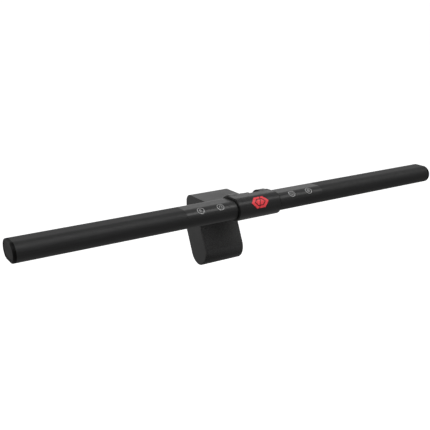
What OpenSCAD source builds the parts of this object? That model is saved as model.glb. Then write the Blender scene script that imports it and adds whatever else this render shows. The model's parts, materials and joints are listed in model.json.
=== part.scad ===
// Monitor light bar: an oval aluminium lamp bar held in a collar, a tilt hinge behind the
// collar, and a clip that rests on a monitor's top edge with a sprung counterweight behind it.
// Millimetres. +X runs along the bar to the user's right, +Y points away from the user, +Z up.
// The origin is the middle of the pad face that rests on the monitor's top edge.

/* [Lamp bar] */
// Overall length of the bar with its end caps
bar_len = 450; // [380:10:520]
// Depth of the oval section, front to back
bar_deep = 26.7; // [26.3:0.1:27.2]
// Height of the oval section
bar_high = 16.9; // [16.7:0.1:17.2]
// Wall of the aluminium extrusion
bar_wall = 1.2; // [1:0.1:1.4]
// Thickness of each end cap outside the extrusion
cap_len = 2.8; // [2:0.1:4]

/* [Lighting] */
// Width of the diffuser window in the flat underside
diffuser_w = 9.2; // [8:0.1:9.4]
// Number of light-emitting diodes
led_count = 48; // [24:2:56]

/* [Touch keys] */
// Distance from the middle to the outer end of a touch panel
panel_end = 75; // [70:1:90]
// Distance from the middle to the inner end, which lies under the collar
panel_start = 22; // [21.8:0.1:22.5]
// Thickness of a touch panel
panel_t = 0.6; // [0.5:0.05:0.7]

/* [Collar] */
// Overall length of the collar along the bar
collar_len = 47; // [46:0.5:50]
// Thickness of the collar wall over the bar
collar_wall = 2; // [1.9:0.1:2.2]
// Width of the plug window in the back of the collar
window_w = 24.6; // [24:0.2:25]

/* [Tilt hinge] */
// Distance of the tilt axis behind the bar's middle
tilt_back = 21; // [21:0.1:21.5]
// Distance of the tilt axis below the bar's middle
tilt_down = 3.5; // [3.2:0.1:3.6]
// Radius of the hinge barrels
barrel_r = 4.5; // [4.2:0.1:4.6]
// Diameter of the tilt pin
tilt_pin_d = 3; // [2.5:0.1:3.2]

/* [Clip] */
// Width of the clip and its counterweight
clip_w = 44.2; // [43:0.2:46]
// Top face of the clip above the resting face
clip_top = 5; // [5:0.1:5.6]
// Back face of the clip behind the origin
clip_back = 38.3; // [38:0.1:39]
// Front of the rear block, the back stop of the monitor gap
spine_front = 12.4; // [12.4:0.1:12.6]
// Depth of the front lip below the resting face
lip_drop = 7; // [4:0.5:9]

/* [Counterweight] */
// Radius of the counterweight's round ends, half its thickness
arm_r = 14; // [13.8:0.1:14]
// Distance from the pivot to the middle of the lower round end
arm_reach = 27.8; // [26:0.2:32]
// Lean of the closed counterweight towards the monitor, in degrees
arm_lean = 24; // [20:1:26]
// Pivot of the counterweight behind the origin
arm_y = 26.8; // [26.8:0.1:27]
// Pivot of the counterweight below the resting face
arm_drop = 23.9; // [23.5:0.1:24.2]
// Diameter of the pivot pin
arm_pin_d = 4; // [3.5:0.1:4.2]

/* [Hidden] */
$fn = 64;
eps = 0.05;
far = 60;

// middle of the bar, behind (+) or in front (-) of the origin and above the resting face
bar_y = -42;
bar_z = 10;
bar_r = bar_high / 2;
bar_s = bar_deep / 2 - bar_r;
body_end = bar_len / 2 - cap_len;

// heights below are measured from the middle of the bar
web_top = -0.4;
web_t = 1;
board_bottom = 2.4;
board_t = 1;
led_board_t = 1;
led_board_w = 8;
led_size = [2.8, 3.5, 0.8];
led_span = 418;
flange_t = 1;
flange_z = -bar_r + bar_wall + 0.1;

// touch panels wrap from the flat top over the upper front
panel_low = 2.1;
panel_back = 8;
panel_corner = 4;

port_z = 5.03;
port_w = 8.94;
port_h = 3.26;
port_face = 14.2;
surround_w = 10.3;
surround_back = 14.6;
surround_top = 8.1;
surround_bottom = 1.3;
window_bottom = 1;
window_front = 3.3;
window_lip = 8.5;
wire_x = [32, 35];

ring_flange = 1.2;
ring_edge = 1;
cap_edge = 1.2;
ring_insert = 1.7;
insert_depth = 1.1;

lug_w = 9.7;
lug_shift = 2.4;
lug_lift = 0.08;
lug_edge = 2;
lug_sink = 0.4;
lug_front = window_front + 0.7;
lug_screw = [17, 6.2];
lug_screw_seat = 14.8;
band_screw = [6, -6.4];
yoke_low = -8;
yoke_gap = 0.03;
band_grow = 2.8;
washer_t = 0.4;
lug_in = window_w / 2;
lug_out = lug_in + lug_w;
knuckle_half = lug_in - washer_t;

tilt_y = bar_y + tilt_back;
tilt_z = bar_z - tilt_down;
arm_z = -arm_drop;

clip_half = clip_w / 2;
clip_front = tilt_y + barrel_r + 0.5;
pad_t = 1;
side_t = 1.8;
top_t = 1.4;
back_t = 2.4;
cover_t = 1.1;
frame_t = 1.3;
inner_half = clip_half - side_t;
seat_r = arm_r + 0.4;
block_low = -13.9;
corner_r = 7.4;
corner_wall = 1.4;
lip_y = clip_front + 1.6;
lip_t = 1.5;
lip_pad_t = 0.9;
screw_rows = [-9, 6];
boss_d = 4.4;

ear_in = 7;
ear_t = 4;
ear_r = 6;
neck_half = 3.6;
leg_room = 1;
arm_slot = 12;
arm_open = 30;
skin = 1.6;
grip_t = 1.4;
cavity_r = arm_r - grip_t - skin;
hinge_block = 9;
cheek_bore = 7;
bush_len = 6;
weight_screw_x = 13;

// ---- helpers -------------------------------------------------------------------------

// extrudes a drawing of (Y, Z) along X from x0 to x1
module along_x(x0, x1) {
    translate([x0, 0, 0]) rotate([90, 0, 90]) linear_extrude(x1 - x0) children();
}

// a round rod along X through the point (y, z)
module rod_x(x0, x1, y, z, d) {
    translate([x0, y, z]) rotate([0, 90, 0]) cylinder(h = x1 - x0, d = d);
}

// a round rod along Y through the point (x, z)
module rod_y(x, y0, y1, z, d) {
    translate([x, y1, z]) rotate([90, 0, 0]) cylinder(h = y1 - y0, d = d);
}

// a box from one corner to the other
module span(a, b) {
    translate(a) cube(b - a);
}

// both mirror images of a piece that lies at +X
module both_sides() {
    children();
    mirror([1, 0, 0]) children();
}

// the bar's oval section, grown outwards by g
module oval(g = 0) {
    translate([bar_y, bar_z]) {
        for (side = [-1, 1]) translate([side * bar_s, 0]) circle(bar_r + g);
        square([2 * bar_s, 2 * (bar_r + g)], center = true);
    }
}

// an oval plate from x0 to x1 with end radius r, its outer edge at x1 rounded by e;
// y0 and y1 are the middles of its round ends, measured from the middle of the bar
module rounded_oval_plate(x0, x1, r, e, y0 = -bar_s, y1 = bar_s) {
    t = x1 - x0;
    translate([x0, bar_y, bar_z]) {
        for (y = [y0, y1]) translate([0, y, 0]) rotate([0, 90, 0])
            rotate_extrude() edge_profile(r, t, e);
        for (up = [0, 1]) mirror([0, 0, up]) translate([0, y1, 0]) rotate([90, 0, 0])
            linear_extrude(y1 - y0) mirror([1, -1]) edge_profile(r, t, e);
    }
}

// half of a disc's section: r out from the axis, t thick, with the upper outer corner rounded
module edge_profile(r, t, e) {
    square([r, t - e]);
    square([r - e, t]);
    translate([r - e, t - e]) intersection() {
        circle(e);
        square(e);
    }
}

// a rectangle of the section plane, measured from the middle of the bar
module section_box(y0, z0, y1, z1) {
    translate([bar_y + y0, bar_z + z0]) square([y1 - y0, z1 - z0]);
}

// an oval plug or socket outline in the XZ plane, extruded from y0 to y1
module port_slot(w, h, y0, y1) {
    translate([0, y1, bar_z + port_z]) rotate([90, 0, 0]) linear_extrude(y1 - y0) {
        for (side = [-1, 1]) translate([side * (w - h) / 2, 0]) circle(d = h);
        square([w - h, h], center = true);
    }
}

// ---- lamp bar ------------------------------------------------------------------------

module bar_section() {
    difference() {
        oval();
        difference() {
            oval(-bar_wall);
            section_box(-bar_deep, web_top - web_t, bar_deep, web_top);
        }
        section_box(-diffuser_w / 2 - 0.1, -bar_high, diffuser_w / 2 + 0.1, -bar_r + bar_wall + 0.5);
    }
}

// the curved area of a touch panel, inset by m on every edge
module panel_area(m) {
    intersection() {
        along_x(panel_start + m, panel_end - m)
            section_box(-bar_deep, panel_low + m, panel_back - m, bar_high);
        translate([0, bar_y + far / 2, bar_z]) rotate([90, 0, 0]) linear_extrude(far) {
            corner_x = panel_end - m - panel_corner;
            translate([panel_start, panel_low + m]) square([corner_x - panel_start, bar_high]);
            translate([corner_x, panel_low + m + panel_corner]) square([panel_corner, bar_high]);
            translate([corner_x, panel_low + m + panel_corner]) circle(panel_corner);
        }
    }
}

module bar_housing() {
    color("#232325") difference() {
        along_x(-body_end, body_end) bar_section();
        both_sides() intersection() {
            panel_area(-eps);
            along_x(0, far * 2) difference() {
                oval(1);
                oval(-panel_t - eps);
            }
        }
        both_sides() intersection() {
            panel_area(2.5);
            along_x(0, far * 2) oval();
        }
        span([-port_w / 2 - 0.2, bar_y + bar_s, bar_z + port_z - 1.85],
             [port_w / 2 + 0.2, bar_y + bar_deep, bar_z + port_z + 1.85]);
        for (x = wire_x) translate([x, bar_y, bar_z - 2]) cylinder(h = 2, d = 2.2);
        lug_screw_rods(bar_s, bar_deep, 1.6);
    }
}

module end_cap() {
    recess = 0.3;
    rim = 2.4;
    plug_len = 5;
    difference() {
        rounded_oval_plate(body_end, body_end + cap_len, bar_r, cap_edge);
        along_x(body_end + cap_len - recess, body_end + cap_len + 1) oval(-rim);
    }
    along_x(body_end - plug_len, body_end + eps) difference() {
        intersection() {
            oval(-bar_wall - 0.1);
            section_box(-bar_deep, web_top + 0.1, bar_deep, bar_high);
        }
        intersection() {
            oval(-bar_wall - 1.6);
            section_box(-bar_deep, web_top + 1.6, bar_deep, bar_high);
        }
    }
}

module left_end_cap() {
    color("#1c1c1e") mirror([1, 0, 0]) end_cap();
}

module right_end_cap() {
    color("#1c1c1e") end_cap();
}

module light_diffuser() {
    flange_w = diffuser_w + 2.4;
    color("#f4f2ea") along_x(-body_end + 1, body_end - 1) {
        section_box(-diffuser_w / 2, -bar_r, diffuser_w / 2, flange_z + eps);
        section_box(-flange_w / 2, flange_z, flange_w / 2, flange_z + flange_t);
    }
}

// two slanted white walls between the board and the diffuser, joined by end plates
module reflector() {
    wall = 0.6;
    top = web_top - web_t - 0.1;
    low = flange_z + flange_t + 0.05;
    top_y = led_board_w / 2 + 0.1;
    low_y = diffuser_w / 2 + 0.5;
    color("#f7f7f5") {
        along_x(-led_span / 2 - 3, led_span / 2 + 3) for (side = [-1, 1])
            translate([bar_y, bar_z]) polygon([
                [side * top_y, top], [side * (top_y + wall), top],
                [side * (low_y + wall), low], [side * low_y, low]]);
        both_sides() along_x(led_span / 2 + 3 - eps, led_span / 2 + 3 + wall)
            translate([bar_y, bar_z]) polygon([
                [-top_y - wall, top], [top_y + wall, top],
                [low_y + wall, low], [-low_y - wall, low]]);
    }
}

module led_board() {
    color("#dcdcd8")
        span([-led_span / 2, bar_y - led_board_w / 2, bar_z + web_top - web_t - led_board_t],
             [led_span / 2, bar_y + led_board_w / 2, bar_z + web_top - web_t]);
}

module leds() {
    pitch = (led_span - 8) / (led_count - 1);
    face = web_top - web_t - led_board_t;
    color("#f2dc8a") for (i = [0 : led_count - 1])
        translate([-(led_span - 8) / 2 + i * pitch, bar_y, bar_z + face - led_size.z / 2])
            cube(led_size, center = true);
}

// ---- touch keys ----------------------------------------------------------------------

module touch_panel() {
    intersection() {
        panel_area(0);
        along_x(0, far * 2) difference() {
            oval();
            oval(-panel_t);
        }
    }
}

module touch_board() {
    intersection() {
        panel_area(1.5);
        along_x(0, far * 2) difference() {
            oval(-bar_wall - 0.02);
            oval(-bar_wall - 0.32);
        }
    }
}

module left_touch_panel() {
    color("#0c0c0e") mirror([1, 0, 0]) touch_panel();
}

module right_touch_panel() {
    color("#0c0c0e") touch_panel();
}

module left_touch_board() {
    color("#b9822e") mirror([1, 0, 0]) touch_board();
}

module right_touch_board() {
    color("#b9822e") touch_board();
}

// ---- driver and socket ---------------------------------------------------------------

board_half = 38;
board_front = -8.5;
board_back = 9.5;

module board_tray() {
    wall = 1.5;
    color("#3a3a3c") difference() {
        span([-board_half, bar_y + board_front, bar_z + web_top],
             [board_half, bar_y + board_back - 1.5, bar_z + board_bottom]);
        span([-board_half + wall, bar_y + board_front + wall, bar_z + web_top - 1],
             [board_half - wall, bar_y + board_back - 1.5 - wall, bar_z + board_bottom + 1]);
    }
}

module driver_board() {
    color("#1f5b39") difference() {
        span([-board_half, bar_y + board_front, bar_z + board_bottom],
             [board_half, bar_y + board_back, bar_z + board_bottom + board_t]);
        for (x = wire_x) translate([x, bar_y, bar_z + board_bottom - 1]) cylinder(h = 4, d = 1.3);
    }
}

module driver_chips() {
    // [middle x, middle y, length, width, height] of each part on the board
    chips = [[-24, -1, 7, 7, 1.2], [-9, -3, 5, 5, 1], [14, -2, 6, 4, 1.4], [24, 1, 4, 4, 1.8]];
    color("#18181a") for (c = chips)
        translate([c[0] - c[2] / 2, bar_y + c[1] - c[3] / 2, bar_z + board_bottom + board_t])
            cube([c[2], c[3], c[4]]);
}

module led_wires() {
    low = bar_z + web_top - web_t;
    color("#b02020") for (x = wire_x)
        translate([x, bar_y, low]) cylinder(h = bar_z + board_bottom + board_t - low, d = 1.2);
}

module usb_socket() {
    side_wall = 0.3;
    top_wall = 0.35;
    depth = 7.3;
    color("#b9babd") {
        difference() {
            port_slot(port_w, port_h, bar_y + port_face - depth, bar_y + port_face);
            port_slot(port_w - 2 * side_wall, port_h - 2 * top_wall,
                      bar_y + port_face - depth + 1, bar_y + port_face + 1);
        }
        span([-3.35, bar_y + port_face - depth + 0.9, bar_z + port_z - 0.35],
             [3.35, bar_y + port_face - 1, bar_z + port_z + 0.35]);
    }
}

module port_surround() {
    round_r = 2;
    color("#141416") difference() {
        along_x(-surround_w / 2, surround_w / 2) difference() {
            union() {
                section_box(bar_s, surround_bottom, surround_back, surround_top - round_r);
                section_box(bar_s, surround_bottom, surround_back - round_r, surround_top);
                translate([bar_y + surround_back - round_r, bar_z + surround_top - round_r])
                    circle(round_r);
            }
            oval(0.03);
        }
        port_slot(port_w + 0.1, port_h + 0.1, bar_y, bar_y + far);
    }
}

// ---- collar --------------------------------------------------------------------------

// the wide lower window, and the notch over it from the socket's surround to the right lug
module plug_window() {
    along_x(-window_w / 2, window_w / 2) section_box(window_front, window_bottom, far, window_lip);
    along_x(-surround_w / 2 - 0.1, window_w / 2) section_box(window_front, window_bottom, far, far);
}

// the room of both lugs on the collar, grown by g
module lug_room(g = 0) {
    both_sides() along_x(lug_in - g, lug_out + g) section_box(lug_front - g, yoke_low - g, far, far);
}

// holes or screws through the lugs and the band, from depth y0 to y1 behind the bar's middle
module lug_screw_rods(y0, y1, d) {
    both_sides() rod_y(lug_screw[0], bar_y + y0, bar_y + y1, bar_z + lug_screw[1], d);
}

module band_screw_rods(y0, y1, d) {
    both_sides() rod_y(band_screw[0], bar_y + y0, bar_y + y1, bar_z + band_screw[1], d);
}

// a stretched hexagon, grown by g
module badge_hexagon(half_w, half_h, g) {
    w = half_w + g * 1.3;
    h = half_h + g;
    polygon([[-w, 0], [-w / 2, h], [w / 2, h], [w, 0], [w / 2, -h], [-w / 2, -h]]);
}

// a generic badge: two nested hexagons cut in two by a slanted gap
module badge_outline(g = 0) {
    gap = 0.4 - g;
    lean_angle = 20;
    difference() {
        union() {
            difference() {
                badge_hexagon(9.3, 5.3, g);
                badge_hexagon(6.1, 3.3, -g);
            }
            badge_hexagon(4.9, 2.5, g);
        }
        rotate(-lean_angle) square([2 * gap, far], center = true);
    }
}

// the badge area on the collar's upper front, between two growths of the oval
module badge_solid(inner, outer, g) {
    badge_angle = 55;
    intersection() {
        translate([0, bar_y - bar_s, bar_z]) rotate([badge_angle, 0, 0])
            linear_extrude(far / 2) badge_outline(g);
        along_x(-far / 2, far / 2) difference() {
            oval(outer);
            oval(inner);
        }
    }
}

module collar() {
    end = collar_len / 2 - ring_flange;
    color("#262628") difference() {
        along_x(-end, end) difference() {
            oval(collar_wall);
            oval(0.1);
        }
        plug_window();
        difference() {
            lug_room(yoke_gap);
            along_x(-far, far) oval(collar_wall - lug_sink);
        }
        both_sides() along_x(end - ring_insert, end + 1) oval(collar_wall - insert_depth + 0.05);
        badge_solid(collar_wall - 0.4, collar_wall + 1, 0.05);
        lug_screw_rods(bar_s, far / 2, 2.1);
        band_screw_rods(bar_s, far / 2, 1.6);
    }
}

module collar_ring() {
    end = collar_len / 2;
    difference() {
        union() {
            rounded_oval_plate(end - ring_flange, end, bar_r + collar_wall, ring_edge);
            along_x(end - ring_flange - ring_insert + 0.05, end - ring_flange + eps)
                oval(collar_wall - insert_depth);
        }
        along_x(0, end + 1) oval(0.1);
    }
}

module left_collar_ring() {
    color("#050506") mirror([1, 0, 0]) collar_ring();
}

module right_collar_ring() {
    color("#050506") collar_ring();
}

module emblem() {
    color("#d3202a") badge_solid(collar_wall - 0.35, collar_wall + 0.25, 0);
}

// ---- tilt hinge ----------------------------------------------------------------------

// the web from the collar to the hinge barrel
module hinge_web_section() {
    translate([bar_y + bar_s, tilt_z - barrel_r]) square([tilt_back - bar_s, 2 * barrel_r]);
    translate([tilt_y, tilt_z]) circle(barrel_r);
}

// two lugs let into the back of the collar, joined by a band below the plug window
module tilt_yoke() {
    color("#242426") difference() {
        union() {
            intersection() {
                both_sides() rounded_oval_plate(lug_in, lug_out, bar_r + collar_wall + lug_lift,
                                                lug_edge, lug_front, bar_s + lug_shift);
                lug_room();
            }
            both_sides() along_x(lug_in, lug_out) hinge_web_section();
            along_x(-lug_in - eps, lug_in + eps) difference() {
                intersection() {
                    oval(band_grow);
                    section_box(lug_front, yoke_low, far, window_bottom);
                }
                oval(collar_wall + yoke_gap);
            }
        }
        along_x(-far, far) oval(collar_wall - lug_sink + yoke_gap);
        rod_x(-far, far, tilt_y, tilt_z, tilt_pin_d + 0.1);
        lug_screw_rods(0, far, 2.1);
        lug_screw_rods(lug_screw_seat, far, 4);
        band_screw_rods(0, far, 2.1);
    }
}

// two screws through the lugs into the bar, and two short ones under the window
module yoke_screws() {
    color("#8c8d90") {
        lug_screw_rods(10, lug_screw_seat + eps, 1.5);
        lug_screw_rods(lug_screw_seat, lug_screw_seat + 1.1, 3.8);
        band_screw_rods(12.2, 14.1, 1.5);
    }
}

module tilt_washers() {
    color("#c9a44c") both_sides() difference() {
        rod_x(knuckle_half, lug_in, tilt_y, tilt_z, 8);
        rod_x(0, far, tilt_y, tilt_z, tilt_pin_d + 0.1);
    }
}

module tilt_pin() {
    head_t = 1;
    color("#a3a5a8") {
        rod_x(-lug_out - eps, lug_out + 1.4, tilt_y, tilt_z, tilt_pin_d);
        rod_x(-lug_out - head_t, -lug_out, tilt_y, tilt_z, 5.6);
    }
}

module tilt_pin_clip() {
    color("#4a4b4e") difference() {
        rod_x(lug_out, lug_out + 0.8, tilt_y, tilt_z, 6);
        rod_x(lug_out - 1, lug_out + 2, tilt_y, tilt_z, tilt_pin_d);
    }
}

// ---- clip ----------------------------------------------------------------------------

// what is left over outside the rounded rear corner of the block, rounded by r
module outside_corner(r) {
    translate([clip_back - corner_r, clip_top - corner_r]) difference() {
        square(corner_r + 1);
        circle(r);
    }
}

module clip_section() {
    difference() {
        union() {
            translate([clip_front, pad_t])
                square([clip_back - clip_front, clip_top - pad_t]);
            translate([spine_front, block_low])
                square([clip_back - spine_front, clip_top - block_low]);
        }
        outside_corner(corner_r);
        translate([arm_y, arm_z]) circle(seat_r);
    }
}

// die-cast frame: the tilt hinge's middle barrel, a flat strip and two ears for the arm pin
module clip_frame() {
    strip_low = pad_t + cover_t + eps;
    strip_top = strip_low + frame_t;
    color("#77797d") difference() {
        union() {
            rod_x(-knuckle_half, knuckle_half, tilt_y, tilt_z, 2 * barrel_r);
            span([-knuckle_half, tilt_y, strip_low], [knuckle_half, arm_y + neck_half, strip_top]);
            both_sides() {
                rod_x(ear_in, ear_in + ear_t, arm_y, arm_z, 2 * ear_r);
                span([ear_in, arm_y - neck_half, arm_z],
                     [ear_in + ear_t, arm_y + neck_half, strip_top]);
            }
        }
        rod_x(-far, far, tilt_y, tilt_z, tilt_pin_d);
        rod_x(-far, far, arm_y, arm_z, arm_pin_d);
        for (y = screw_rows) translate([0, y, 0]) cylinder(h = far, d = boss_d + 0.6);
    }
}

module clip_housing() {
    roof = clip_top - top_t;
    color("#29292b") difference() {
        along_x(-clip_half, clip_half) clip_section();
        along_x(-inner_half, inner_half) difference() {
            translate([clip_front + top_t, block_low - 1])
                square([clip_back - back_t - clip_front - top_t, roof - block_low + 1]);
            outside_corner(corner_r - corner_wall);
        }
        span([-knuckle_half - 0.1, clip_front - 1, pad_t - 1], [knuckle_half + 0.1, clip_front + 2, roof]);
    }
    boss_low = pad_t + cover_t + eps;
    color("#29292b") for (y = screw_rows) difference() {
        translate([0, y, boss_low]) cylinder(h = roof - boss_low + eps, d = boss_d);
        translate([0, y, boss_low - 1]) cylinder(h = far, d = 1.6);
    }
}

module clip_bottom_cover() {
    cover_in = inner_half - 0.05;
    floor_z = pad_t + cover_t;
    color("#232325") {
        difference() {
            along_x(-cover_in, cover_in) difference() {
                intersection() {
                    clip_section();
                    translate([clip_front + top_t + 0.05, block_low - 1])
                        square([clip_back - back_t - clip_front - top_t - 0.1, far]);
                }
                translate([clip_front, floor_z]) square([far * 2, far]);
                difference() {
                    translate([spine_front + top_t, block_low + cover_t]) square([far, far]);
                    translate([arm_y, arm_z]) circle(seat_r + cover_t);
                }
            }
            for (side = [-1, 1]) translate([side * (ear_in + ear_t / 2), arm_y, block_low])
                cube([ear_t + 0.6, 2 * ear_r + 0.6, far], center = true);
            span([-5.5, arm_y - 4.5, block_low], [5.5, arm_y + 4.5, 0]);
            for (y = screw_rows) translate([0, y, 0]) {
                cylinder(h = far, d = 2);
                cylinder(h = pad_t + 0.6, d = 4.4);
            }
        }
        span([-cover_in, lip_y, -lip_drop], [cover_in, lip_y + lip_t, pad_t + eps]);
    }
}

module cover_screws() {
    color("#8c8d90") for (y = screw_rows) translate([0, y, 0]) {
        translate([0, 0, pad_t]) cylinder(h = 0.6, d = 4);
        translate([0, 0, pad_t + 0.5]) cylinder(h = clip_top - top_t - pad_t - 0.5, d = 1.5);
    }
}

module rest_pad() {
    pad_front = lip_y + lip_t + lip_pad_t + 0.1;
    color("#3b3b3e") span([-clip_half + 2.2, pad_front, 0], [clip_half - 2.2, spine_front - 0.1, pad_t]);
}

module lip_pad() {
    y = lip_y + lip_t;
    color("#3b3b3e")
        span([-clip_half + 2.2, y, -lip_drop + 0.5], [clip_half - 2.2, y + lip_pad_t, -0.1]);
}

// ---- counterweight -------------------------------------------------------------------

// places a drawing of the arm, hung straight down from its pivot, at the closed lean
module arm_pose() {
    translate([arm_y, arm_z]) rotate(-arm_lean) children();
}

module capsule(r) {
    circle(r);
    translate([0, -arm_reach]) circle(r);
    translate([-r, -arm_reach]) square([2 * r, arm_reach]);
}

module half(y0, z0, y1, z1) {
    translate([y0, z0]) square([y1 - y0, z1 - z0]);
}

module grip_section(grow = 0) {
    difference() {
        intersection() {
            capsule(arm_r);
            half(-far, -far, 0, -1 + grow);
        }
        capsule(arm_r - grip_t - grow);
    }
}

module rear_skin_section(gap = 0) {
    intersection() {
        difference() {
            capsule(arm_r);
            capsule(arm_r - skin - 0.2 - gap);
        }
        half(2 - gap, -far, far, -hinge_block + 2 + gap);
    }
}

module cavity_section() {
    intersection() {
        union() {
            translate([0, -arm_reach]) circle(cavity_r);
            half(-cavity_r, -arm_reach, arm_r - skin - 0.25, 0);
            translate([1, -arm_reach]) circle(cavity_r + 1);
        }
        half(-far, -far, far, -hinge_block);
    }
}

// space that the clip's ears sweep, seen from the arm, while it opens
module ear_sweep_section() {
    w = neck_half + leg_room;
    reach = 2 * arm_r;
    turns = [arm_lean, arm_lean - arm_open];
    circle(ear_r + 0.5);
    for (a = turns) rotate(a) translate([-w, 0]) square([2 * w, reach]);
    polygon([[0, 0], for (a = turns) reach * [-sin(a), cos(a)]]);
}

module weight_housing() {
    side_in = clip_half - side_t;
    color("#29292b") difference() {
        along_x(-clip_half, clip_half) arm_pose() difference() {
            capsule(arm_r);
            grip_section(0.03);
        }
        along_x(-side_in, side_in) arm_pose() rear_skin_section(0.05);
        along_x(-side_in + 1.5, side_in - 1.5) arm_pose() cavity_section();
        along_x(-arm_slot, arm_slot) arm_pose() ear_sweep_section();
        rod_x(-far, far, arm_y, arm_z, cheek_bore);
    }
}

// two holes or screws across the rear cover and into the weight, at depths y0 to y1
module weight_screw_rods(d, y0, y1) {
    both_sides() translate([0, arm_y, arm_z]) rotate([-arm_lean, 0, 0])
        rod_y(weight_screw_x, y0, y1, -hinge_block - 5, d);
}

module weight_rear_cover() {
    side_in = clip_half - side_t - 0.05;
    color("#232325") difference() {
        along_x(-side_in, side_in) arm_pose() rear_skin_section();
        weight_screw_rods(2.2, 0, far);
        weight_screw_rods(4.2, arm_r - 1.1, far);
    }
}

module rear_cover_screws() {
    color("#8c8d90") {
        weight_screw_rods(1.8, 4, arm_r - 0.6);
        weight_screw_rods(3.8, arm_r - 1.1, arm_r - 0.3);
    }
}

module steel_weight() {
    side = clip_half - side_t - 1.7;
    color("#6d6f73") difference() {
        along_x(-side, side) arm_pose() intersection() {
            union() {
                translate([0, -arm_reach]) circle(cavity_r - 0.15);
                half(-cavity_r + 0.15, -arm_reach, cavity_r - 0.15, 0);
            }
            half(-far, -far, far, -hinge_block - 0.15);
        }
        weight_screw_rods(1.9, 3.5, far);
    }
}

module grip_pad() {
    color("#2f2f31") along_x(-clip_half, clip_half) arm_pose() grip_section();
}

module arm_pin() {
    color("#a3a5a8") rod_x(-clip_half + 1.4, clip_half - 1.4, arm_y, arm_z, arm_pin_d);
}

module arm_bushes() {
    color("#d8d4c8") both_sides() difference() {
        rod_x(arm_slot + 0.3, arm_slot + 0.3 + bush_len, arm_y, arm_z, cheek_bore);
        rod_x(0, far, arm_y, arm_z, arm_pin_d + 0.1);
    }
}

module arm_pin_caps() {
    color("#1c1c1e") both_sides() rod_x(clip_half - 1.2, clip_half, arm_y, arm_z, cheek_bore);
}

// torsion spring: a wound wire around the pin, with one leg up and one leg down
spring_wire = 1.2;
spring_r = 3.6;
spring_turns = 6;
spring_steps = 14;
spring_sides = 8;

function coil_angle(i) = 360 * i / spring_steps + 180;
function coil_middle(i) = [
    (i / (spring_turns * spring_steps) - 0.5) * spring_turns * (spring_wire + 0.15),
    arm_y + spring_r * cos(coil_angle(i)),
    arm_z + spring_r * sin(coil_angle(i))];
function coil_ring(i) = [for (k = [0 : spring_sides - 1])
    let (a = 360 * k / spring_sides, out = spring_wire / 2 * cos(a))
    coil_middle(i) + [
        spring_wire / 2 * sin(a),
        out * cos(coil_angle(i)),
        out * sin(coil_angle(i))]];

module spring_coil() {
    rings = spring_turns * spring_steps;
    n = spring_sides;
    points = [for (i = [0 : rings]) each coil_ring(i)];
    sides = [for (i = [0 : rings - 1], k = [0 : n - 1])
        [i * n + k, i * n + (k + 1) % n, (i + 1) * n + (k + 1) % n, (i + 1) * n + k]];
    first = [for (k = [n - 1 : -1 : 0]) k];
    last = [for (k = [0 : n - 1]) rings * n + k];
    polyhedron(points, concat(sides, [first, last]), convexity = 10);
}

module arm_spring() {
    x_end = coil_middle(spring_turns * spring_steps).x;
    leg_up = 16;
    leg_down = 4.5;
    color("#b4b6b9") {
        spring_coil();
        translate([-x_end, arm_y - spring_r, arm_z]) cylinder(h = leg_up, d = spring_wire);
        translate([x_end, arm_y - spring_r, arm_z - leg_down]) cylinder(h = leg_down, d = spring_wire);
    }
}

// ---- assembly ------------------------------------------------------------------------

bar_housing();
left_end_cap();
right_end_cap();
light_diffuser();
reflector();
led_board();
leds();
left_touch_panel();
right_touch_panel();
left_touch_board();
right_touch_board();
board_tray();
driver_board();
driver_chips();
led_wires();
usb_socket();
port_surround();
collar();
left_collar_ring();
right_collar_ring();
emblem();
tilt_yoke();
yoke_screws();
tilt_washers();
tilt_pin();
tilt_pin_clip();
clip_frame();
clip_housing();
clip_bottom_cover();
cover_screws();
rest_pad();
lip_pad();
arm_pin();
arm_spring();
weight_housing();
weight_rear_cover();
rear_cover_screws();
steel_weight();
grip_pad();
arm_bushes();
arm_pin_caps();
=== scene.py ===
import json
import math

import bmesh
import bpy
from mathutils import Matrix, Vector, noise


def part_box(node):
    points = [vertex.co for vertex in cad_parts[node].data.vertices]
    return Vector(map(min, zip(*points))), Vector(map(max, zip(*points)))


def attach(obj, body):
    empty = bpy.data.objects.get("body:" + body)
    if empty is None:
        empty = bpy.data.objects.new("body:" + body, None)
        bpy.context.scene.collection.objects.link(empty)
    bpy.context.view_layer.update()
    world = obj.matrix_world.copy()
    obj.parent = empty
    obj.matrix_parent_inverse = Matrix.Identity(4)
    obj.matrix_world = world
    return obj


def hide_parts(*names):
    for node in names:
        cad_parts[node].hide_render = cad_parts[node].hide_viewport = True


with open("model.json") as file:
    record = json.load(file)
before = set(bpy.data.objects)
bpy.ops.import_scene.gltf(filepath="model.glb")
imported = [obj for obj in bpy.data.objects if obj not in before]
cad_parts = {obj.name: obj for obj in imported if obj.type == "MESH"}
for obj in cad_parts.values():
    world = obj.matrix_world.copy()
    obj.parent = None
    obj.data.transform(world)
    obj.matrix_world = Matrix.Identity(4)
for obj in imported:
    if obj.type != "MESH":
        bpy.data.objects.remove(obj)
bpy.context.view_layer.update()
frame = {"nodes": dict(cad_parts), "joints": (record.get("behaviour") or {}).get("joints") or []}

MM = 0.001
nodes = frame["nodes"]


# ---- camera --------------------------------------------------------------------------

CAMERA_AT = Vector((-357.4, -536.4, 192.6)) * MM
AZIMUTH = math.radians(32.765)
ELEVATION = math.radians(17.577)
PIXEL = 1 / 430


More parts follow.
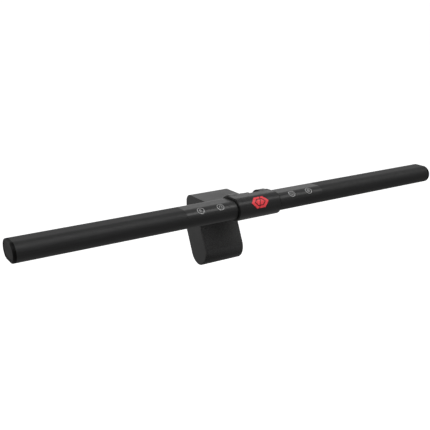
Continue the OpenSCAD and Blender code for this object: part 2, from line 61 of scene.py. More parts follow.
def make_camera():
    """The camera stands at the front left, a little above the bar."""
    data = bpy.data.cameras.new("camera")
    data.sensor_fit = "HORIZONTAL"
    data.sensor_width = 36
    data.lens = 57.93
    data.shift_x = -0.5 * PIXEL
    data.shift_y = 0.38 * PIXEL
    data.clip_start = 0.01
    data.clip_end = 100
    camera = bpy.data.objects.new("camera", data)
    bpy.context.scene.collection.objects.link(camera)
    ahead = Vector((
        math.sin(AZIMUTH) * math.cos(ELEVATION),
        math.cos(AZIMUTH) * math.cos(ELEVATION),
        -math.sin(ELEVATION),
    ))
    right = Vector((math.cos(AZIMUTH), -math.sin(AZIMUTH), 0))
    turn = Matrix((right, right.cross(ahead), -ahead)).transposed()
    camera.matrix_world = Matrix.Translation(CAMERA_AT) @ turn.to_4x4()
    bpy.context.scene.camera = camera


# ---- floor and light -----------------------------------------------------------------

FLOOR_Z = -0.32
# brightness of the studio by the height of the direction looked in, behind and in front
STUDIO_BEHIND = [(-1.0, 0.5), (-0.75, 0.36), (-0.6, 0.14), (-0.5, 0.16), (-0.3, 0.44),
                 (-0.05, 0.66), (0.05, 0.8), (0.3, 0.77), (0.45, 0.38), (0.6, 0.34),
                 (0.85, 0.36), (1.0, 0.4)]
STUDIO_FRONT = [(-1.0, 0.5), (-0.8, 0.38), (-0.55, 0.25), (-0.3, 0.18), (0.0, 0.18),
                (0.3, 0.2), (0.5, 0.25), (0.8, 0.28), (1.0, 0.4)]


def link(tree, out_socket, in_socket):
    tree.links.new(out_socket, in_socket)


def brightness_ramp(tree, height, stops):
    """A grey ramp over the height of the direction, from straight down to straight up."""
    scaled = tree.nodes.new("ShaderNodeMapRange")
    scaled.inputs["From Min"].default_value = -1
    scaled.inputs["From Max"].default_value = 1
    link(tree, height, scaled.inputs["Value"])
    ramp = tree.nodes.new("ShaderNodeValToRGB")
    ramp.color_ramp.interpolation = "EASE"
    points = ramp.color_ramp.elements
    while len(points) < len(stops):
        points.new(0.5)
    for point, (at, level) in zip(points, stops):
        point.position = (at + 1) / 2
        point.color = (level, level, level, 1)
    link(tree, scaled.outputs["Result"], ramp.inputs["Fac"])
    return ramp.outputs["Color"]


def make_world():
    """A pale studio: bright behind the object, dimmer above and in front."""
    world = bpy.data.worlds.new("studio")
    bpy.context.scene.world = world
    world.use_nodes = True
    tree = world.node_tree
    tree.nodes.clear()
    where = tree.nodes.new("ShaderNodeTexCoord")
    split = tree.nodes.new("ShaderNodeSeparateXYZ")
    link(tree, where.outputs["Generated"], split.inputs[0])
    behind = brightness_ramp(tree, split.outputs["Z"], STUDIO_BEHIND)
    front = brightness_ramp(tree, split.outputs["Z"], STUDIO_FRONT)
    side = tree.nodes.new("ShaderNodeMapRange")
    side.interpolation_type = "SMOOTHSTEP"
    side.inputs["From Min"].default_value = -0.35
    side.inputs["From Max"].default_value = 0.35
    link(tree, split.outputs["Y"], side.inputs["Value"])
    mix = tree.nodes.new("ShaderNodeMix")
    mix.data_type = "RGBA"
    link(tree, side.outputs["Result"], mix.inputs["Factor"])
    link(tree, front, mix.inputs["A"])
    link(tree, behind, mix.inputs["B"])
    studio = tree.nodes.new("ShaderNodeBackground")
    link(tree, mix.outputs["Result"], studio.inputs["Color"])
    plain = tree.nodes.new("ShaderNodeBackground")
    plain.inputs["Color"].default_value = (1, 1, 1, 1)
    plain.inputs["Strength"].default_value = 1.05
    seen = tree.nodes.new("ShaderNodeLightPath")
    choose = tree.nodes.new("ShaderNodeMixShader")
    link(tree, seen.outputs["Is Camera Ray"], choose.inputs["Fac"])
    link(tree, studio.outputs["Background"], choose.inputs[1])
    link(tree, plain.outputs["Background"], choose.inputs[2])
    out = tree.nodes.new("ShaderNodeOutputWorld")
    link(tree, choose.outputs["Shader"], out.inputs["Surface"])


def softbox(name, at, towards, size, power):
    """A rectangular softbox whose long side runs along X."""
    data = bpy.data.lights.new(name, "AREA")
    data.shape = "RECTANGLE"
    data.size, data.size_y = size
    data.energy = power
    light = bpy.data.objects.new(name, data)
    bpy.context.scene.collection.objects.link(light)
    ahead = (Vector(towards) - Vector(at)).normalized()
    along = Vector((1, 0, 0))
    up = (-ahead).cross(along).normalized()
    turn = Matrix((along, up, -ahead)).transposed()
    light.matrix_world = Matrix.Translation(at) @ turn.to_4x4()
    light.visible_camera = False
    return light


# strip light above the front, as an angle from straight up and a distance from the bar;
# each box has a name, its right end in metres and its radiance
STRIP_ANGLE = math.radians(24)
STRIP_AWAY = 1.31
STRIP_WIDTH = 0.5
STRIP_LEFT = -0.9
STRIP_BOXES = [("strip_whole", 2.1, 1.2), ("strip_middle", 0.86, 1.65), ("strip_end", 0.5, 0.4)]


def make_strip():
    """Softboxes in one row, so that the light gets stronger to the left."""
    middle, height = -42 * MM, 10 * MM
    for i, (name, right, radiance) in enumerate(STRIP_BOXES):
        # each box hangs a little behind the last, because boxes in one plane hide each other
        away = STRIP_AWAY + 0.02 * i
        y = middle - away * math.sin(STRIP_ANGLE)
        z = height + away * math.cos(STRIP_ANGLE)
        length = right - STRIP_LEFT
        x = (right + STRIP_LEFT) / 2
        power = radiance * math.pi * length * STRIP_WIDTH
        softbox(name, (x, y, z), (x, middle, height), (length, STRIP_WIDTH), power)


def make_floor():
    mesh = bpy.data.meshes.new("floor")
    reach = 60
    corners = [(-reach, -reach), (reach, -reach), (reach, reach), (-reach, reach)]
    mesh.from_pydata([(x, y, FLOOR_Z) for x, y in corners], [], [(0, 1, 2, 3)])
    floor = bpy.data.objects.new("floor", mesh)
    bpy.context.scene.collection.objects.link(floor)
    pale = bpy.data.materials.new("floor_pale")
    pale.use_nodes = True
    shader = pale.node_tree.nodes["Principled BSDF"]
    shader.inputs["Base Color"].default_value = (0.93, 0.93, 0.93, 1)
    shader.inputs["Roughness"].default_value = 0.9
    shader.inputs["Emission Color"].default_value = (1, 1, 1, 1)
    shader.inputs["Emission Strength"].default_value = 0.7
    mesh.materials.append(pale)
    floor.visible_glossy = False
    floor.visible_diffuse = False


# ---- material helpers ----------------------------------------------------------------

class Maker:
    """Builds one Principled material from noise, bump and colour steps."""

    def __init__(self, name, colour, roughness, specular=0.5, metallic=0.0, edge_mm=0.0):
        self.material = bpy.data.materials.new(name)
        self.material.use_nodes = True
        self.tree = self.material.node_tree
        self.shader = self.tree.nodes["Principled BSDF"]
        self.shader.inputs["Base Color"].default_value = (*colour, 1)
        self.shader.inputs["Roughness"].default_value = roughness
        self.shader.inputs["Specular IOR Level"].default_value = specular
        self.shader.inputs["Metallic"].default_value = metallic
        self.coords = self.tree.nodes.new("ShaderNodeTexCoord").outputs["Object"]
        self.normal = None
        if edge_mm:
            edge = self.tree.nodes.new("ShaderNodeBevel")
            edge.samples = 4
            edge.inputs["Radius"].default_value = edge_mm * MM
            self.normal = edge.outputs["Normal"]

    def add(self, kind):
        return self.tree.nodes.new("ShaderNode" + kind)

    def link(self, out_socket, in_socket):
        self.tree.links.new(out_socket, in_socket)

    def stretched(self, scale):
        """Object coordinates multiplied by a scale on each axis."""
        mapping = self.add("Mapping")
        mapping.inputs["Scale"].default_value = scale
        self.link(self.coords, mapping.inputs["Vector"])
        return mapping.outputs["Vector"]

    def noise(self, size_mm, detail=2.0, stretch=(1, 1, 1)):
        """Noise whose features are about size_mm across."""
        per_metre = 1 / (size_mm * MM)
        node = self.add("TexNoise")
        node.inputs["Scale"].default_value = 1
        node.inputs["Detail"].default_value = detail
        scale = tuple(per_metre * s for s in stretch)
        self.link(self.stretched(scale), node.inputs["Vector"])
        return node.outputs["Fac"]

    def cells(self, size_mm, feature="F1"):
        node = self.add("TexVoronoi")
        node.feature = feature
        node.inputs["Scale"].default_value = 1
        per_metre = 1 / (size_mm * MM)
        self.link(self.stretched((per_metre,) * 3), node.inputs["Vector"])
        return node.outputs["Distance"]

    def spread(self, value, low, high, from_low=0.3, from_high=0.7):
        """A value mapped to the range from low to high."""
        node = self.add("MapRange")
        node.inputs["From Min"].default_value = from_low
        node.inputs["From Max"].default_value = from_high
        node.inputs["To Min"].default_value = low
        node.inputs["To Max"].default_value = high
        self.link(value, node.inputs["Value"])
        return node.outputs["Result"]

    def colour_between(self, value, dark, light, start=0.35, end=0.65):
        ramp = self.add("ValToRGB")
        ramp.color_ramp.elements[0].position = start
        ramp.color_ramp.elements[0].color = (*dark, 1)
        ramp.color_ramp.elements[1].position = end
        ramp.color_ramp.elements[1].color = (*light, 1)
        self.link(value, ramp.inputs["Fac"])
        self.link(ramp.outputs["Color"], self.shader.inputs["Base Color"])

    def roughness_between(self, value, low, high):
        self.link(self.spread(value, low, high), self.shader.inputs["Roughness"])

    def bump(self, value, depth_mm, strength=1.0):
        node = self.add("Bump")
        node.inputs["Strength"].default_value = strength
        node.inputs["Distance"].default_value = depth_mm * MM
        self.link(value, node.inputs["Height"])
        if self.normal is not None:
            self.link(self.normal, node.inputs["Normal"])
        self.normal = node.outputs["Normal"]
        self.link(self.normal, self.shader.inputs["Normal"])


def grey(level, blue=1.0):
    return (level, level, level * blue)


def spark_plastic(name, level, roughness, specular=0.5, grain_mm=0.35, depth_mm=0.012):
    """Moulded plastic with a fine spark-eroded texture and a slightly uneven sheen."""
    made = Maker(name, grey(level), roughness, specular, edge_mm=0.22)
    grain = made.noise(grain_mm, 3)
    patches = made.noise(14, 2)
    made.colour_between(grain, grey(level * 0.78), grey(level * 1.25, 1.02))
    made.roughness_between(patches, roughness - 0.03, roughness + 0.04)
    made.bump(grain, depth_mm)
    return made.material


def cap_plastic(name, face_level, rim_level):
    """End cap: a plain face, and a blacker rim that starts a little in from the end."""
    made = Maker(name, grey(face_level), 0.5)
    split = made.add("SeparateXYZ")
    made.link(made.coords, split.inputs[0])
    out = made.add("Math")
    out.operation = "ABSOLUTE"
    made.link(split.outputs["X"], out.inputs[0])
    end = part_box("right_end_cap")[1].x
    face = made.spread(out.outputs[0], 0, 1, end - 1.2 * MM, end - 0.6 * MM)
    made.colour_between(face, grey(rim_level), grey(face_level), 0, 1)
    made.link(made.spread(face, 0.08, 0.21, 0, 1), made.shader.inputs["Specular IOR Level"])
    made.roughness_between(made.noise(14, 2), 0.47, 0.54)
    made.bump(made.noise(0.35, 3), 0.012)
    return made.material


def anodised(name, level, roughness, specular):
    """Bead-blasted and anodised extrusion: fine grain and faint lines along its length."""
    made = Maker(name, grey(level), roughness, specular)
    grain = made.noise(0.22, 3)
    lines = made.noise(0.5, 2, stretch=(0.015, 1, 1))
    made.colour_between(lines, grey(level * 0.85), grey(level * 1.2, 1.03))
    made.roughness_between(lines, roughness - 0.03, roughness + 0.03)
    made.bump(grain, 0.006)
    made.bump(lines, 0.004)
    return made.material


def gloss_panel(name, level, roughness, specular):
    """Back-painted touch panel: smooth, with a trace of orange peel."""
    made = Maker(name, grey(level), roughness, specular)
    peel = made.noise(2.5, 1)
    dust = made.noise(0.6, 2)
    made.colour_between(dust, grey(level * 0.85), grey(level * 1.2))
    made.roughness_between(peel, roughness - 0.02, roughness + 0.03)
    made.bump(peel, 0.003)
    return made.material


def rubber(name, level, roughness, grain_mm=0.5, depth_mm=0.03, painted_light_slope=(0, 0, 0), painted_shade_heights=(-2, -1)):
    """Soft pad with a close pebble grain. bloom is painted light: the speckle is made paler along
    each axis, per metre, as if lit more from one side; fade gives the heights in metres where
    painted shade darkens it fully and where it starts."""
    made = Maker(name, grey(level), roughness, 0.24)
    pebble = made.cells(grain_mm)
    speckle = made.noise(grain_mm * 1.3, 3)
    # painted light: the colour grows paler along the given axes, standing in for light falling more
    # on one side
    painted_light_amount = made.add("VectorMath")
    painted_light_amount.operation = "DOT_PRODUCT"
    painted_light_amount.inputs[1].default_value = painted_light_slope
    made.link(made.coords, painted_light_amount.inputs[0])
    speckle_and_painted_light = made.add("Math")
    made.link(speckle, speckle_and_painted_light.inputs[0])
    made.link(painted_light_amount.outputs["Value"], speckle_and_painted_light.inputs[1])
    split = made.add("SeparateXYZ")
    made.link(made.coords, split.inputs[0])
    # painted shade: the speckle is darkened below the given heights, standing in for the shade
    # under the pad's rounded tip
    speckle_lit_and_shaded = made.add("Math")
    speckle_lit_and_shaded.operation = "SUBTRACT"
    made.link(speckle_and_painted_light.outputs[0], speckle_lit_and_shaded.inputs[0])
    made.link(made.spread(split.outputs["Z"], 0.4, 0, *painted_shade_heights), speckle_lit_and_shaded.inputs[1])
    made.colour_between(speckle_lit_and_shaded.outputs[0], grey(level * 0.5), grey(level * 2.6), 0.36, 0.9)
    made.roughness_between(speckle, roughness - 0.06, roughness + 0.06)
    made.bump(pebble, depth_mm)
    made.bump(speckle, depth_mm * 0.6)
    return made.material


def metal(name, colour, roughness, line_mm=0.25, stretch=(1, 1, 1)):
    """Bare metal with fine tool lines."""
    made = Maker(name, colour, roughness, 0.5, 1.0)
    lines = made.noise(line_mm, 3, stretch)
    dark = tuple(c * 0.8 for c in colour)
    made.colour_between(lines, dark, colour)
    made.roughness_between(lines, roughness - 0.06, roughness + 0.08)
    made.bump(lines, 0.004)
    return made.material


def milky(name):
    """Translucent diffuser sheet."""
    made = Maker(name, (0.86, 0.85, 0.82), 0.38, 0.45)
    cloud = made.noise(3, 2)
    made.colour_between(cloud, (0.80, 0.79, 0.76), (0.88, 0.87, 0.84))
    made.roughness_between(cloud, 0.34, 0.42)
    made.bump(made.noise(0.5, 2), 0.004)
    made.shader.inputs["Subsurface Weight"].default_value = 0.25
    made.shader.inputs["Subsurface Scale"].default_value = 0.0008
    return made.material


def printed(name, colour, roughness, painted_glow=0.0):
    """Screen-printed ink with a little mottle; glow is painted light, the share of its colour it
    gives off by itself as emission, though the ink is no lamp.
    """
    made = Maker(name, colour, roughness, 0.3)
    made.shader.inputs["Emission Color"].default_value = (*colour, 1)
    made.shader.inputs["Emission Strength"].default_value = painted_glow
    mottle = made.noise(0.4, 2)
    dark = tuple(c * 0.88 for c in colour)
    made.colour_between(mottle, dark, colour)
    made.roughness_between(mottle, roughness - 0.05, roughness + 0.05)
    made.bump(mottle, 0.003)
    return made.material


def board(name, colour):
    """Circuit board with the faint weave of its glass cloth."""
    made = Maker(name, colour, 0.4, 0.5)
    weave = made.noise(0.4, 1, stretch=(1, 0.3, 1))
    made.colour_between(weave, tuple(c * 0.8 for c in colour), colour)
    made.bump(weave, 0.004)
    return made.material


# ---- finishes of the CAD pieces ------------------------------------------------------

def paint(material, *names):
    for name in names:
        slots = nodes[name].data.materials
        slots.clear()
        slots.append(material)


def finish_cad_pieces():
    bar = anodised("bar_black", 0.018, 0.56, 0.42)
    cap = cap_plastic("cap_black", 0.0035, 0.005)
    collar = spark_plastic("collar_black", 0.029, 0.29, 0.325)
    clip = spark_plastic("clip_black", 0.019, 0.33, 0.5)
    ring = spark_plastic("ring_black", 0.004, 0.5, 0.3)
    panel = gloss_panel("touch_panel_black", 0.025, 0.32, 0.48)
    steel = metal("zinc_steel", (0.5, 0.5, 0.52), 0.34)
    pin = metal("ground_steel", (0.62, 0.62, 0.64), 0.22, 0.15, (0.2, 1, 1))
    cast = metal("die_cast", (0.30, 0.31, 0.33), 0.48, 0.6)
    brass = metal("washer_brass", (0.72, 0.52, 0.2), 0.3)
    white = spark_plastic("white_plastic", 0.82, 0.4)
    green = board("board_green", (0.03, 0.19, 0.09))
    strip = board("board_white", (0.78, 0.78, 0.76))
    paint(bar, "bar_housing")
    paint(cap, "left_end_cap", "right_end_cap")
    paint(collar, "collar", "tilt_yoke", "port_surround")
    paint(clip, "clip_housing", "clip_bottom_cover", "weight_housing", "weight_rear_cover")
    paint(ring, "left_collar_ring", "right_collar_ring")
    paint(panel, "left_touch_panel", "right_touch_panel")
    paint(steel, "yoke_screws", "cover_screws", "rear_cover_screws", "tilt_pin_clip",
          "usb_socket")
    paint(pin, "tilt_pin", "arm_pin", "arm_spring", "steel_weight")
    paint(cast, "clip_frame")
    paint(brass, "tilt_washers")
    paint(milky("diffuser_milk"), "light_diffuser")
    # painted light: the emblem's emission stands in for the brightness of its glossy red print
    paint(printed("emblem_red", (0.9, 0.07, 0.085), 0.35, 0.17), "emblem")
    paint(white, "reflector", "arm_bushes")
    paint(strip, "led_board")
    paint(green, "driver_board")
    paint(gloss_panel("chip_black", 0.02, 0.4, 0.5), "driver_chips", "board_tray")
    paint(printed("phosphor", (0.85, 0.68, 0.2), 0.5), "leds")
    paint(printed("wire_red", (0.5, 0.03, 0.03), 0.45), "led_wires")
    paint(printed("polyimide", (0.5, 0.27, 0.05), 0.35), "left_touch_board",
          "right_touch_board")
    paint(clip, "arm_pin_caps")


# ---- touch marks ---------------------------------------------------------------------

def bar_section():
    """The bar's middle and section sizes, from its CAD piece."""
    low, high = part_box("bar_housing")
    middle = (low + high) / 2
    radius = (high.z - low.z) / 2
    straight = (high.y - low.y) / 2 - radius
    return middle, radius, straight


def on_bar(x, down, lift):
    """A point on the bar's upper front arc: down is the arc length from the flat top."""
    middle, radius, straight = bar_section()
    angle = down / radius
    r = radius + lift
    return Vector((x, middle.y - straight - r * math.sin(angle), middle.z + r * math.cos(angle)))


class Print:
    """Ink of even thickness laid on the bar, drawn as ribbons round a middle point."""

    def __init__(self, x, down, thickness=0.05 * MM):
        self.bm = bmesh.new()
        self.x, self.down = x, down
        self.thickness = thickness

    def place(self, u, v, lift):
        # v runs up the bar, so it shortens the arc length
        return self.bm.verts.new(on_bar(self.x + u * MM, self.down - v * MM, lift))

    def ribbon(self, points, width, closed=False):
        """A line of even width through points in the (u, v) plane, in millimetres."""
        count = len(points)
        rows = []
        for i, (u, v) in enumerate(points):
            before = points[i - 1] if i or closed else points[0]
            after = points[(i + 1) % count] if i + 1 < count or closed else points[-1]
            du, dv = after[0] - before[0], after[1] - before[1]
            size = math.hypot(du, dv) or 1
            nu, nv = -dv / size * width / 2, du / size * width / 2
            rows.append([
                self.place(u + nu, v + nv, 0.0),
                self.place(u + nu, v + nv, self.thickness),
                self.place(u - nu, v - nv, self.thickness),
                self.place(u - nu, v - nv, 0.0),
            ])
        spans = count if closed else count - 1
        for i in range(spans):
            a, b = rows[i], rows[(i + 1) % count]
            for k in range(4):
                self.bm.faces.new((a[k], a[(k + 1) % 4], b[(k + 1) % 4], b[k]))
        if not closed:
            self.bm.faces.new(rows[0][::-1])
            self.bm.faces.new(rows[-1])

    def arc(self, radius, start, end, width, centre=(0, 0), steps=28):
        closed = abs(end - start) >= 360
        turns = range(steps if closed else steps + 1)
        points = []
        for i in turns:
            angle = math.radians(start + (end - start) * i / steps)
            points.append((centre[0] + radius * math.cos(angle),
                           centre[1] + radius * math.sin(angle)))
        self.ribbon(points, width, closed)

    def line(self, start, end, width):
        middle = ((start[0] + end[0]) / 2, (start[1] + end[1]) / 2)
        self.ribbon([start, middle, end], width)

    def rays(self, count, inner, outer, width):
        for i in range(count):
            angle = 2 * math.pi * i / count
            c, s = math.cos(angle), math.sin(angle)
            self.line((inner * c, inner * s), (outer * c, outer * s), width)

    def finish(self, name, material):
        bmesh.ops.recalc_face_normals(self.bm, faces=self.bm.faces)
        mesh = bpy.data.meshes.new(name)
        self.bm.to_mesh(mesh)
        self.bm.free()
        mesh.materials.append(material)
        piece = bpy.data.objects.new(name, mesh)
        bpy.context.scene.collection.objects.link(piece)
        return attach(piece, "lamp")


MARK_RING = 3.2
MARK_LINE = 0.48
MARK_ANGLE = math.radians(34.7)


def mark_power(ink):
    ink.arc(1.35, 125, 415, 0.34)
    ink.line((0, 0.5), (0, 1.8), 0.34)


def mark_mode(ink):
    ink.arc(0.75, 0, 360, 0.3, steps=16)
    ink.rays(8, 1.15, 1.95, 0.3)


def mark_brightness(ink):
    ink.arc(1.3, 70, 290, 0.34)
    ink.arc(0.55, 0, 360, 0.3, steps=12)


def mark_warmth(ink):
    ink.arc(1.2, 0, 180, 0.36)
    ink.line((-1.2, 0), (-1.2, -1.0), 0.34)
    ink.line((1.2, 0), (1.2, -1.0), 0.34)


def make_touch_marks():
    _, radius, _ = bar_section()
    white_ink = printed("mark_ink", (0.62, 0.62, 0.62), 0.5)
    marks = [("mark_brightness", -60.4, mark_brightness), ("mark_warmth", -40.2, mark_warmth),
             ("mark_power", 39.4, mark_power), ("mark_mode", 59.4, mark_mode)]
    for name, x, draw in marks:
        ink = Print(x * MM, MARK_ANGLE * radius)
        ink.arc(MARK_RING, 0, 360, MARK_LINE, steps=56)
        draw(ink)
        ink.finish(name, white_ink)


# ---- soft pads -----------------------------------------------------------------------

ARM_RADIUS = 14 * MM
ARM_REACH = 27.8 * MM
ARM_LEAN = math.radians(24)
GRIP_START = 1 * MM
PAD_THICKNESS = 1.35 * MM


def arm_frame(y, z):
    """Turns a direction or offset of the hanging arm to the lean it has at rest."""
    c, s = math.cos(ARM_LEAN), math.sin(ARM_LEAN)
    return y * c + z * s, z * c - y * s


def swing_pivot():
    return next(j for j in frame["joints"] if j["name"] == "counterweight_swing")["pos_m"]


def grip_outline(along):
    """Outer face of the grip pad: (y, z, normal y, normal z) at a distance along its section."""
    pivot = swing_pivot()
    straight = ARM_REACH - GRIP_START
    if along < straight:
        place, facing = (-ARM_RADIUS, -GRIP_START - along), (-1.0, 0.0)
    else:
        turn = (along - straight) / ARM_RADIUS
        facing = (-math.cos(turn), -math.sin(turn))
        place = (ARM_RADIUS * facing[0], ARM_RADIUS * facing[1] - ARM_REACH)
    y, z = arm_frame(*place)
    return (pivot[1] + y, pivot[2] + z, *arm_frame(*facing))


def edge_drop(distance, radius):
    """How far a rounded edge falls below the face, at a distance in from the edge."""
    if distance >= radius:
        return 0.0
    return radius - math.sqrt(max(radius ** 2 - (radius - distance) ** 2, 0.0))


def steps(low, high, step, edge):
    """Stations from low to high: close together over the rounded edges, evenly spaced between."""
    near = [0.0, 0.08 * edge, 0.3 * edge, 0.65 * edge]
    inner_low, inner_high = low + edge, high - edge
    count = max(1, round((inner_high - inner_low) / step))
    between = [inner_low + (inner_high - inner_low) * i / count for i in range(count + 1)]
    return [low + d for d in near] + between + [high - d for d in reversed(near)]


class Pad:
    """A moulded pad: a face with relief, rounded edges, side walls and a plain back."""

    def __init__(self, outline, length, x_range, thickness, relief, step, edge=0.35 * MM):
        self.bm = bmesh.new()
        self.outline, self.length = outline, length
        xs = steps(*x_range, step[0], edge)
        rows = steps(0.0, length, step[1], edge)
        face = []
        for s in rows:
            y, z, ny, nz = outline(s)
            line = []
            for x in xs:
                inside = min(x - xs[0], xs[-1] - x)
                drop = edge_drop(inside, edge) + edge_drop(min(s, length - s), edge)
                drop += relief(x, s)
                line.append(self.bm.verts.new((x, y - ny * drop, z - nz * drop)))
            face.append(line)
        back = []
        for s in rows:
            y, z, ny, nz = outline(s)
            y, z = y - ny * thickness, z - nz * thickness
            back.append([self.bm.verts.new((x, y, z)) for x in (xs[0], xs[-1])])
        for a, b in zip(face, face[1:]):
            for i in range(len(xs) - 1):
                self.bm.faces.new((a[i], a[i + 1], b[i + 1], b[i]))
        for k in range(len(rows) - 1):
            self.bm.faces.new((back[k][0], back[k + 1][0], back[k + 1][1], back[k][1]))
            self.bm.faces.new((face[k][0], face[k + 1][0], back[k + 1][0], back[k][0]))
            self.bm.faces.new((face[k][-1], back[k][1], back[k + 1][1], face[k + 1][-1]))
        self.bm.faces.new([back[0][0], back[0][1]] + face[0][::-1])
        self.bm.faces.new([back[-1][1], back[-1][0]] + face[-1])

    def finish(self, name, body, node, material):
        bmesh.ops.recalc_face_normals(self.bm, faces=self.bm.faces)
        mesh = bpy.data.meshes.new(name)
        self.bm.to_mesh(mesh)
        self.bm.free()
        mesh.materials.append(material)
        mesh.shade_smooth()
        mesh.set_sharp_from_angle(angle=math.radians(50))
        piece = bpy.data.objects.new(name, mesh)
        bpy.context.scene.collection.objects.link(piece)
        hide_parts(node)
        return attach(piece, body)


def pebbles(x, s):
    """Leather-like pebbles: shallow valleys between rounded cells."""
    at = Vector((x / (0.8 * MM), s / (0.8 * MM), 0.5))
    near, second = noise.voronoi(at)[0][:2]
    return 0.07 * MM * (1 - min(1.0, (second - near) * 2.2))


def ribs(x, s):
    """Even ribs across the pad."""
    return 0.1 * MM * (1 - math.cos(2 * math.pi * s / (1.3 * MM)))


def make_pads():
    # the grip's colour holds painted light, paler towards +X and downward, and painted shade
    # darkening its rounded tip below about -48 mm
    grip = rubber("grip_rubber", 0.043, 0.6, 0.55, 0.02, painted_light_slope=(5, 0, -6),
                  painted_shade_heights=(-0.0545, -0.0475))
    soft = rubber("rest_rubber", 0.03, 0.7, 0.4, 0.015)
    low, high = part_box("grip_pad")
    length = ARM_REACH - GRIP_START + ARM_RADIUS * math.pi / 2
    pad = Pad(grip_outline, length, (low.x, high.x), PAD_THICKNESS, pebbles, (0.32 * MM, 0.32 * MM))
    pad.finish("grip_pad_grained", "counterweight", "grip_pad", grip)
    low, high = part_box("rest_pad")
    pad = Pad(lambda s: (low.y + s, low.z, 0.0, -1.0), high.y - low.y, (low.x, high.x),
              high.z - low.z, ribs, (4 * MM, 0.16 * MM))
    pad.finish("rest_pad_ribbed", "clip", "rest_pad", soft)
    front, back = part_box("lip_pad")
    pad = Pad(lambda s: (back.y, back.z - s, 1.0, 0.0), back.z - front.z, (front.x, back.x),
              back.y - front.y, ribs, (4 * MM, 0.16 * MM))
    pad.finish("lip_pad_ribbed", "clip", "lip_pad", soft)


# ---- screws and socket contacts ------------------------------------------------------

def turned(name, profile, segments=40):
    """A mesh turned about Z from a closed (radius, height) profile that starts and ends on it."""
    bm = bmesh.new()
    verts = [bm.verts.new((r, 0, z)) for r, z in profile]
    edges = [bm.edges.new(pair) for pair in zip(verts, verts[1:])]
    bmesh.ops.spin(bm, geom=verts + edges, axis=(0, 0, 1), cent=(0, 0, 0),
                   angle=2 * math.pi, steps=segments, use_duplicate=False)
    bmesh.ops.remove_doubles(bm, verts=bm.verts, dist=1e-6)
    bmesh.ops.recalc_face_normals(bm, faces=bm.faces)
    mesh = bpy.data.meshes.new(name)
    bm.to_mesh(mesh)
    bm.free()
    return mesh


def cross_cutter(width, reach, top, bottom):
    """A tapered cross, as the recess of a screw head."""
    bm = bmesh.new()
    for along in (0, 1):
        rings = []
        for z, share in ((top, 1.0), (bottom, 0.45)):
            a, b = (reach * share, width / 2) if along else (width / 2, reach * share)
            rings.append([bm.verts.new(p) for p in
                          ((-a, -b, z), (a, -b, z), (a, b, z), (-a, b, z))])
        up, down = rings
        bm.faces.new(up)
        bm.faces.new(down[::-1])
        for i in range(4):
            j = (i + 1) % 4
            bm.faces.new((up[j], up[i], down[i], down[j]))
    bmesh.ops.recalc_face_normals(bm, faces=bm.faces)
    mesh = bpy.data.meshes.new("cutter")
    bm.to_mesh(mesh)
    bm.free()
    return mesh


def screw_head(radius, height):
    """A pan head with a cross recess, its underside at z = 0."""
    crown = [(0, 0), (radius, 0), (radius, height * 0.45)]
    for i in range(1, 7):
        turn = math.pi / 2 * i / 6
        crown.append((radius * (0.72 + 0.28 * math.cos(turn)),
                      height * (0.45 + 0.4 * math.sin(turn))))
    crown += [(radius * 0.35, height * 0.97), (0, height)]
    head = bpy.data.objects.new("head", turned("head", crown))
    cutter = bpy.data.objects.new("cutter", cross_cutter(
        radius * 0.3, radius * 0.66, height * 1.2, height * 0.25))
    for o in (head, cutter):
        bpy.context.scene.collection.objects.link(o)
    cut = head.modifiers.new("recess", "BOOLEAN")
    cut.object = cutter
    cut.operation = "DIFFERENCE"
    cut.use_self = True
    bpy.context.view_layer.update()
    done = head.evaluated_get(bpy.context.evaluated_depsgraph_get())
    mesh = bpy.data.meshes.new_from_object(done)
    for o in (head, cutter):
        bpy.data.objects.remove(o)
    return mesh


def place_heads(name, body, places, mesh, material):
    """Copies of a screw head at (point, direction) places, as one piece."""
    bm = bmesh.new()
    for point, facing in places:
        turn = Vector(facing).to_track_quat("Z", "Y").to_matrix().to_4x4()
        copy = mesh.copy()
        copy.transform(Matrix.Translation(point) @ turn)
        bm.from_mesh(copy)
        bpy.data.meshes.remove(copy)
    heads = bpy.data.meshes.new(name)
    bm.to_mesh(heads)
    bm.free()
    heads.materials.clear()
    heads.materials.append(material)
    heads.shade_smooth()
    heads.set_sharp_from_angle(angle=math.radians(35))
    piece = bpy.data.objects.new(name, heads)
    bpy.context.scene.collection.objects.link(piece)
    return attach(piece, body)


HEAD_RADIUS = 1.9 * MM
YOKE_HEAD = 1.0 * MM
REAR_HEAD = 0.75 * MM
REAR_SCREW_DOWN = -14 * MM
# how deep the underside of each head lies under the CAD head's face or the rear cover
YOKE_SUNK = 0.5 * MM
REAR_SUNK = 0.85 * MM


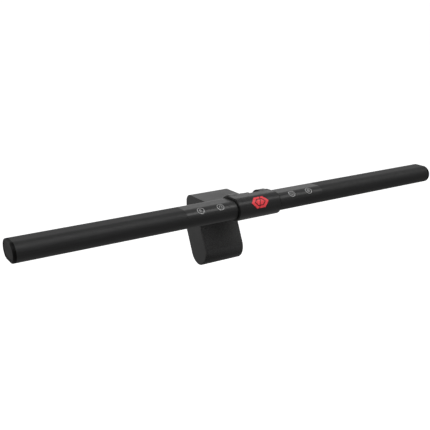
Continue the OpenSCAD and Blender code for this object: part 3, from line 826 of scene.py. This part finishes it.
def make_screw_heads():
    """Cross-recessed heads over the plain heads of the CAD screws that can be seen."""
    steel = metal("screw_zinc", (0.5, 0.5, 0.52), 0.32)
    low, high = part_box("yoke_screws")
    head = screw_head(HEAD_RADIUS, YOKE_HEAD)
    across = high.x - HEAD_RADIUS
    z = high.z - HEAD_RADIUS
    face = high.y - YOKE_SUNK
    places = [(Vector((side * across, face, z)), (0, 1, 0)) for side in (-1, 1)]
    place_heads("yoke_screw_heads", "lamp", places, head, steel)

    head = screw_head(HEAD_RADIUS, REAR_HEAD)
    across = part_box("rear_cover_screws")[1].x - HEAD_RADIUS
    pivot = swing_pivot()
    y, z = arm_frame(ARM_RADIUS - REAR_SUNK, REAR_SCREW_DOWN)
    facing = (0, *arm_frame(1, 0))
    places = [(Vector((side * across, pivot[1] + y, pivot[2] + z)), facing) for side in (-1, 1)]
    place_heads("rear_cover_screw_heads", "counterweight", places, head, steel)


def make_port_contacts():
    """Rows of gold contacts on both faces of the socket's tongue."""
    gold = metal("contact_gold", (0.85, 0.62, 0.25), 0.25)
    low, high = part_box("usb_socket")
    middle = (low.z + high.z) / 2
    bm = bmesh.new()
    for side in (-1, 1):
        for i in range(12):
            x = (i - 5.5) * 0.5 * MM
            size = Matrix.Diagonal((0.26 * MM, 3.6 * MM, 0.05 * MM, 1))
            at = Matrix.Translation((x, high.y - 3.1 * MM, middle + side * 0.36 * MM))
            bmesh.ops.create_cube(bm, size=1, matrix=at @ size)
    bmesh.ops.bevel(bm, geom=bm.edges[:], offset=0.012 * MM, segments=1, affect="EDGES")
    mesh = bpy.data.meshes.new("port_contacts")
    bm.to_mesh(mesh)
    bm.free()
    mesh.materials.append(gold)
    piece = bpy.data.objects.new("port_contacts", mesh)
    bpy.context.scene.collection.objects.link(piece)
    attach(piece, "lamp")


# ---- assembly ------------------------------------------------------------------------

make_camera()
make_world()
make_floor()
make_strip()
bpy.context.scene.view_settings.view_transform = "Standard"
finish_cad_pieces()
make_touch_marks()
make_pads()
make_screw_heads()
make_port_contacts()
